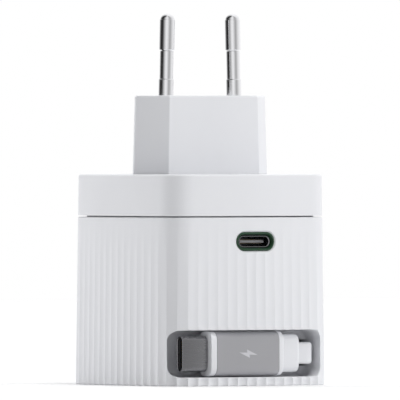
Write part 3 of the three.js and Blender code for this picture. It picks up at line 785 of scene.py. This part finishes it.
def port_tongue():
    low, high = box_of("port_tongue")
    bevel = 0.15
    corner = 0.12
    rings = []
    for y, inset in ((low.y, bevel), (low.y + bevel, 0), (high.y, 0)):
        outline = rounded_rectangle(high.x - low.x - 2 * inset, high.z - low.z - 2 * inset, corner, 3)
        rings.append([Vector((across, y, PORT_Z + up)) for across, up, *_ in outline])
    place(loft("socket_tongue", rings), "tongue_grey", "housing", ["port_tongue"])
    place(socket_contacts(low, high), "contact_brass", "housing")


def contact_places():
    """Where the contacts of a row lie, from the row's middle."""
    return [(i - (CONTACTS - 1) / 2) * CONTACT_PITCH for i in range(CONTACTS)]


def socket_contacts(low, high):
    """Two rows of flat contacts, on the tongue's upper and lower faces."""
    half_width = 0.14
    proud = 0.04
    front, back = low.y + 0.6, high.y - 0.2
    pads = []
    for row in (low.z - proud, high.z):
        for x in contact_places():
            pads.append(block((x - half_width, front, row), (x + half_width, back, row + proud)))
    return joined("socket_contacts", pads)


# ---------------------------------------------------------------- the connector on the cable


def slab_outline(inset, radius, steps=6):
    return rounded_rectangle(HEAD_THICKNESS - 2 * inset, HEAD_HEIGHT - 2 * inset, radius, steps)


def head_piece(name, levels, radius=HEAD_CORNER):
    """A piece of the connector, from levels of (x, inset)."""
    outlines = [(x, slab_outline(inset, radius)) for x, inset in levels]
    return loft(name, along_x(outlines, HEAD_Y, HEAD_Z))


def plug_tube():
    """The connector's steel tube, with a rounded front edge."""
    thickness, width = tube_high.y - tube_low.y, tube_high.z - tube_low.z
    tip, back = tube_low.x, tube_high.x
    levels = [
        (0, back),
        (0, tip + 0.25),
        (0.05, tip + 0.1),
        (0.15, tip),
        (0.22, tip),
        (SHEET, tip + 0.12),
        (SHEET, back),
    ]
    outlines = [(x, obround(thickness - 2 * inset, width - 2 * inset, 12)) for inset, x in levels]
    tube = loft("connector_tube", along_x(outlines, HEAD_Y, HEAD_Z), closed=True)
    place(tube, "connector_steel", "connector_head", ["usb_plug_shell"])


def plug_insert():
    """The black moulding in the tube, with the slot that takes a port's tongue and two rows of contacts."""
    thickness, width = tube_high.y - tube_low.y, tube_high.z - tube_low.z
    slot_thickness, slot_width = 0.8, 6.8
    back = tube_high.x
    face, slot_end = tube_low.x + 0.5, back - 1.3
    play = 2 * (SHEET + HAIRLINE)
    outer = obround(thickness - play, width - play, 12)
    slot = obround(slot_thickness, slot_width, 12)
    levels = [(back, outer), (face, outer), (face, slot), (slot_end, slot)]
    insert = loft("connector_insert", along_x(levels, HEAD_Y, HEAD_Z))
    place(insert, "black_plastic", "connector_head", ["usb_plug_insert"])

    half_width = 0.12
    half_depth = 0.03
    pads = []
    for side in (-1, 1):
        wall = HEAD_Y + side * (slot_thickness / 2 - half_depth)
        for along in contact_places():
            low = (face + 0.3, wall - half_depth, HEAD_Z + along - half_width)
            high = (slot_end - 0.1, wall + half_depth, HEAD_Z + along + half_width)
            pads.append(block(low, high))
    place(joined("connector_contacts", pads), "contact_brass", "connector_head")


def front_collar():
    start, end = box_of("front_collar")[0].x, sleeve_low.x - HAIRLINE
    levels = [(start, 0.2), (start + 0.04, 0.1), (start + 0.15, 0.05), (end - 0.06, 0.05), (end, 0.11)]
    place(head_piece("collar_front", levels), "white_plastic", "connector_head", ["front_collar"])


def grip():
    """The grey sleeve, with a shallow pocket that holds the charging sign."""
    edge = 0.08
    start, end = sleeve_low.x, sleeve_high.x
    levels = [(start, edge), (start + edge, 0), (end - edge, 0), (end, edge)]
    sleeve = head_piece("grip", levels)
    boolean(sleeve, emblem("pocket", 1, 0.2, 1))
    place(sleeve, "grip_grey", "connector_head", ["grip_sleeve"])
    place(emblem("bolt_print", 0.98, 0.17, 0), "emblem_print", "connector_head", ["bolt_emblem"])


def emblem(name, scale, depth, outward):
    """A small generic charging sign on the grip: a stout bolt, the same when turned by half a turn."""
    half = [Vector(corner) * scale for corner in ((-2.6, 0.3), (0.4, -1), (0.3, -0.25))]
    corners = half + [-corner for corner in half]
    middle = (sleeve_low.x + sleeve_high.x) / 2
    rings = []
    for y in (sleeve_low.y - outward, sleeve_low.y + depth):
        rings.append([Vector((middle + x, y, HEAD_Z + z)) for x, z in corners])
    return loft(name, rings)


def rear_collar():
    start, end = sleeve_high.x + HAIRLINE, box_of("rear_collar")[1].x
    base = 0.05
    edge = 0.5
    levels = [(start, 0.11), (start + 0.06, base)]
    levels += [(end - edge + rise, base + inset) for inset, rise in quarter_round(edge)]
    place(head_piece("collar_rear", levels), "white_plastic", "connector_head", ["rear_collar"])


def cable_neck():
    start, end = box_of("rear_collar")[1].x + HAIRLINE, box_of("cable_neck")[1].x
    base = 0.9
    edge = 1.0
    levels = [(start, base)] + [(end - edge + rise, base + inset) for inset, rise in quarter_round(edge)]
    place(head_piece("neck", levels, 1.4), "white_plastic", "connector_head", ["cable_neck"])


# ---------------------------------------------------------------- the cable


def ribbon(name, points, thickness=CABLE_THICKNESS):
    """The flat cable on edge, along points in plan."""
    section = obround(thickness, CABLE_WIDTH, 4)
    rings = []
    for i, point in enumerate(points):
        along = points[min(i + 1, len(points) - 1)] - points[max(i - 1, 0)]
        side = Vector((-along.y, along.x)).normalized()
        ring = []
        for across, up, *_ in section:
            ring.append(Vector((point.x + side.x * across, point.y + side.y * across, HEAD_Z + up)))
        rings.append(ring)
    return loft(name, rings)


def leaving_point():
    """Where the cable leaves the reel, on the line from the bend that touches the outermost turn."""
    to_reel = REEL - BEND_TOP
    direction = math.atan2(to_reel.y, to_reel.x) - math.asin(WINDING / to_reel.length)
    reach = math.sqrt(to_reel.length_squared - WINDING**2)
    return BEND_TOP + Vector((math.cos(direction), math.sin(direction))) * reach


def cable_coil(contact):
    """The wound cable: a spiral from the point where it leaves the reel inwards to the drum."""
    film = 0.06  # between the turns
    turns = (COIL_OUTER - COIL_INNER) / CABLE_THICKNESS
    first = math.atan2(contact.y - REEL.y, contact.x - REEL.x)
    steps = round(turns * 48)
    spiral = []
    for i in range(steps + 1):
        angle = first + i / steps * turns * TURN
        radius = WINDING - i / steps * (turns - 1) * CABLE_THICKNESS
        spiral.append(REEL + Vector((math.cos(angle), math.sin(angle))) * radius)
    coil = ribbon("cable_spiral", spiral, CABLE_THICKNESS - film)
    place(coil, "cable_jacket", "reel", ["cable_coil"])


def cable_run(contact):
    """From the reel to the bend. The part in front of the bay's back wall lengthens under a pull."""
    share = (contact.y - BAY_BACK) / (contact.y - BEND_TOP.y)
    inside = [contact.lerp(BEND_TOP, i / 4 * share) for i in range(4)]
    top_of_stretch = contact.lerp(BEND_TOP, share)
    rows = 48
    paid_out = [top_of_stretch.lerp(BEND_TOP, i / rows) for i in range(rows + 1)]
    straight = place(ribbon("cable_straight", inside + paid_out), "cable_jacket", None, ["cable_run"])
    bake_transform(straight)


def cable_bend():
    """The quarter turn into the connector, which opens out as the connector swings."""
    steps = 24
    centre = BEND_TOP - Vector((BEND_RADIUS, 0))
    bend = []
    for i in range(steps + 1):
        angle = -i / steps * math.pi / 2
        bend.append(centre + Vector((math.cos(angle), math.sin(angle))) * BEND_RADIUS)
    neck_end = box_of("cable_neck")[1].x + HAIRLINE
    bend += [Vector((bend[-1].x + (neck_end - bend[-1].x) * i / 4, HEAD_Y)) for i in range(1, 5)]
    turn = place(ribbon("cable_turn", bend), "cable_jacket", None, ["cable_bend"])
    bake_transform(turn)


# ---------------------------------------------------------------- the inside keeps its CAD shape


def finish_cad_nodes():
    """Every CAD node that still shows gets the finish of its slot in the record."""
    for part in frame["record"]["subparts"]:
        node = frame["nodes"].get(part["node"])
        if node is None or node.hide_render:
            continue
        for holder in node.material_slots:
            holder.material = finish(part["material_slot"])


# ---------------------------------------------------------------- floor, light and camera

AZIMUTH = math.radians(-33.3)
ELEVATION = math.radians(0.3)
TOWARDS_CAMERA = Vector((math.sin(AZIMUTH), -math.cos(AZIMUTH), 0))
RIGHT = Vector((math.cos(AZIMUTH), math.sin(AZIMUTH), 0))


def camera():
    """A long lens far away, so that upright edges look parallel."""
    data = bpy.data.cameras.new("camera")
    data.lens = 1600
    data.clip_end = 20
    shot = bpy.data.objects.new("camera", data)
    seen_height = 0.09302  # of the picture, at the object, in metres
    distance = seen_height * data.lens / data.sensor_width
    target = Vector((0, 0, 0.0429))
    back = TOWARDS_CAMERA * math.cos(ELEVATION) + Vector((0, 0, math.sin(ELEVATION)))
    shot.location = target + back * distance
    shot.rotation_mode = "QUATERNION"
    shot.rotation_quaternion = (-back).to_track_quat("-Z", "Y")
    bpy.context.scene.collection.objects.link(shot)
    bpy.context.scene.camera = shot


def floor():
    reach = 1500
    corners = [(-reach, -reach, 0), (reach, -reach, 0), (reach, reach, 0), (-reach, reach, 0)]
    ground = new_object("floor", corners, [(0, 1, 2, 3)])
    material = bpy.data.materials.new("floor")
    material.use_nodes = True
    shader = material.node_tree.nodes["Principled BSDF"]
    shader.inputs["Base Color"].default_value = (0.95, 0.95, 0.955, 1)
    shader.inputs["Roughness"].default_value = 0.9
    shader.inputs["Specular IOR Level"].default_value = 0.0
    ground.data.materials.append(material)
    ground.visible_glossy = False  # metal mirrors the studio, not the bright floor


FILL = 0.03  # how much light comes from all round, besides the lamps


def lamp(name, degrees, height, strength, softness):
    """A distant soft light, at an angle to the right of the camera and above the floor."""
    data = bpy.data.lights.new(name, "SUN")
    data.energy = strength
    data.angle = math.radians(softness)
    across, up = math.radians(degrees), math.radians(height)
    level = TOWARDS_CAMERA * math.cos(across) + RIGHT * math.sin(across)
    source = level * math.cos(up) + Vector((0, 0, math.sin(up)))
    light = bpy.data.objects.new(name, data)
    light.rotation_mode = "QUATERNION"
    light.rotation_quaternion = source.to_track_quat("Z", "Y")
    light.visible_glossy = False
    bpy.context.scene.collection.objects.link(light)


# The studio as polished metal sees it: a dark panel on the left, and a dimmer stretch on the right.
# Each pair is (degrees to the right of the camera, brightness).
STUDIO = [
    (-180, 1.05), (-142, 0.7), (-126, 0.24), (-102, 0.03), (-74, 0.02), (-57, 0.14), (-42, 0.44), (-25, 0.76),
    (-8, 0.97), (6, 0.87), (23, 0.64), (38, 0.4), (54, 0.48), (73, 0.74), (94, 0.87), (120, 1.0), (180, 1.05),
]


def feed(tree, socket, value):
    """Links an output to a socket, or sets the socket to a constant."""
    if isinstance(value, bpy.types.NodeSocket):
        tree.links.new(value, socket)
    else:
        socket.default_value = value


def calculated(tree, kind, operation, *values):
    """The result of a maths node whose first inputs are values."""
    made = tree.nodes.new(kind)
    made.operation = operation
    for socket, value in zip(made.inputs, values):
        feed(tree, socket, value)
    return made.outputs["Value"]


def colour_choice(tree, factor, first, second):
    """The first colour where factor is 0, and the second where it is 1."""
    made = tree.nodes.new("ShaderNodeMix")
    made.data_type = "RGBA"
    colour_a, colour_b = made.inputs[6], made.inputs[7]
    feed(tree, made.inputs["Factor"], factor)
    feed(tree, colour_a, first)
    feed(tree, colour_b, second)
    return made.outputs[2]


def surroundings(tree):
    """The STUDIO's brightness by compass direction, as the output of a colour ramp."""
    direction = tree.nodes.new("ShaderNodeTexCoord").outputs["Generated"]
    right = calculated(tree, "ShaderNodeVectorMath", "DOT_PRODUCT", direction, RIGHT)
    forward = calculated(tree, "ShaderNodeVectorMath", "DOT_PRODUCT", direction, TOWARDS_CAMERA)
    angle = calculated(tree, "ShaderNodeMath", "ARCTAN2", right, forward)
    turn = calculated(tree, "ShaderNodeMath", "MULTIPLY_ADD", angle, 1 / TURN, 0.5)
    ramp = tree.nodes.new("ShaderNodeValToRGB")
    tree.links.new(turn, ramp.inputs["Fac"])
    while len(ramp.color_ramp.elements) < len(STUDIO):
        ramp.color_ramp.elements.new(1.0)
    for element, (degrees, brightness) in zip(ramp.color_ramp.elements, STUDIO):
        element.position = degrees / 360 + 0.5
        element.color = (brightness, brightness, brightness * 1.01, 1)
    return ramp.outputs["Color"]


def studio():
    """White behind the object, faint light all round, and the STUDIO's panels that only gloss picks up."""
    world = bpy.data.worlds.new("studio")
    bpy.context.scene.world = world
    world.use_nodes = True
    tree = world.node_tree
    tree.nodes.clear()
    rays = tree.nodes.new("ShaderNodeLightPath").outputs
    seen = colour_choice(tree, rays["Is Glossy Ray"], (FILL, FILL, FILL, 1), surroundings(tree))
    seen = colour_choice(tree, rays["Is Camera Ray"], seen, (1, 1, 1, 1))
    background = tree.nodes.new("ShaderNodeBackground")
    tree.links.new(seen, background.inputs["Color"])
    output = tree.nodes.new("ShaderNodeOutputWorld")
    tree.links.new(background.outputs["Background"], output.inputs["Surface"])
    bpy.context.scene.view_settings.view_transform = "Standard"


camera()
floor()
studio()
lamp("left_light", -111, 12, 1.64, 22)
lamp("right_light", 84, 22, 1.15, 22)
lamp("back_light", 180, 62, 1.13, 40)
lamp("top_light", 30, 72, 1.63, 30)
lower_shell()
top_cap()
plug_body()
pins()
port_bezel()
port_shell()
port_tongue()
plug_tube()
plug_insert()
front_collar()
grip()
rear_collar()
cable_neck()
cable_coil(leaving_point())
cable_run(leaving_point())
cable_bend()
finish_cad_nodes()
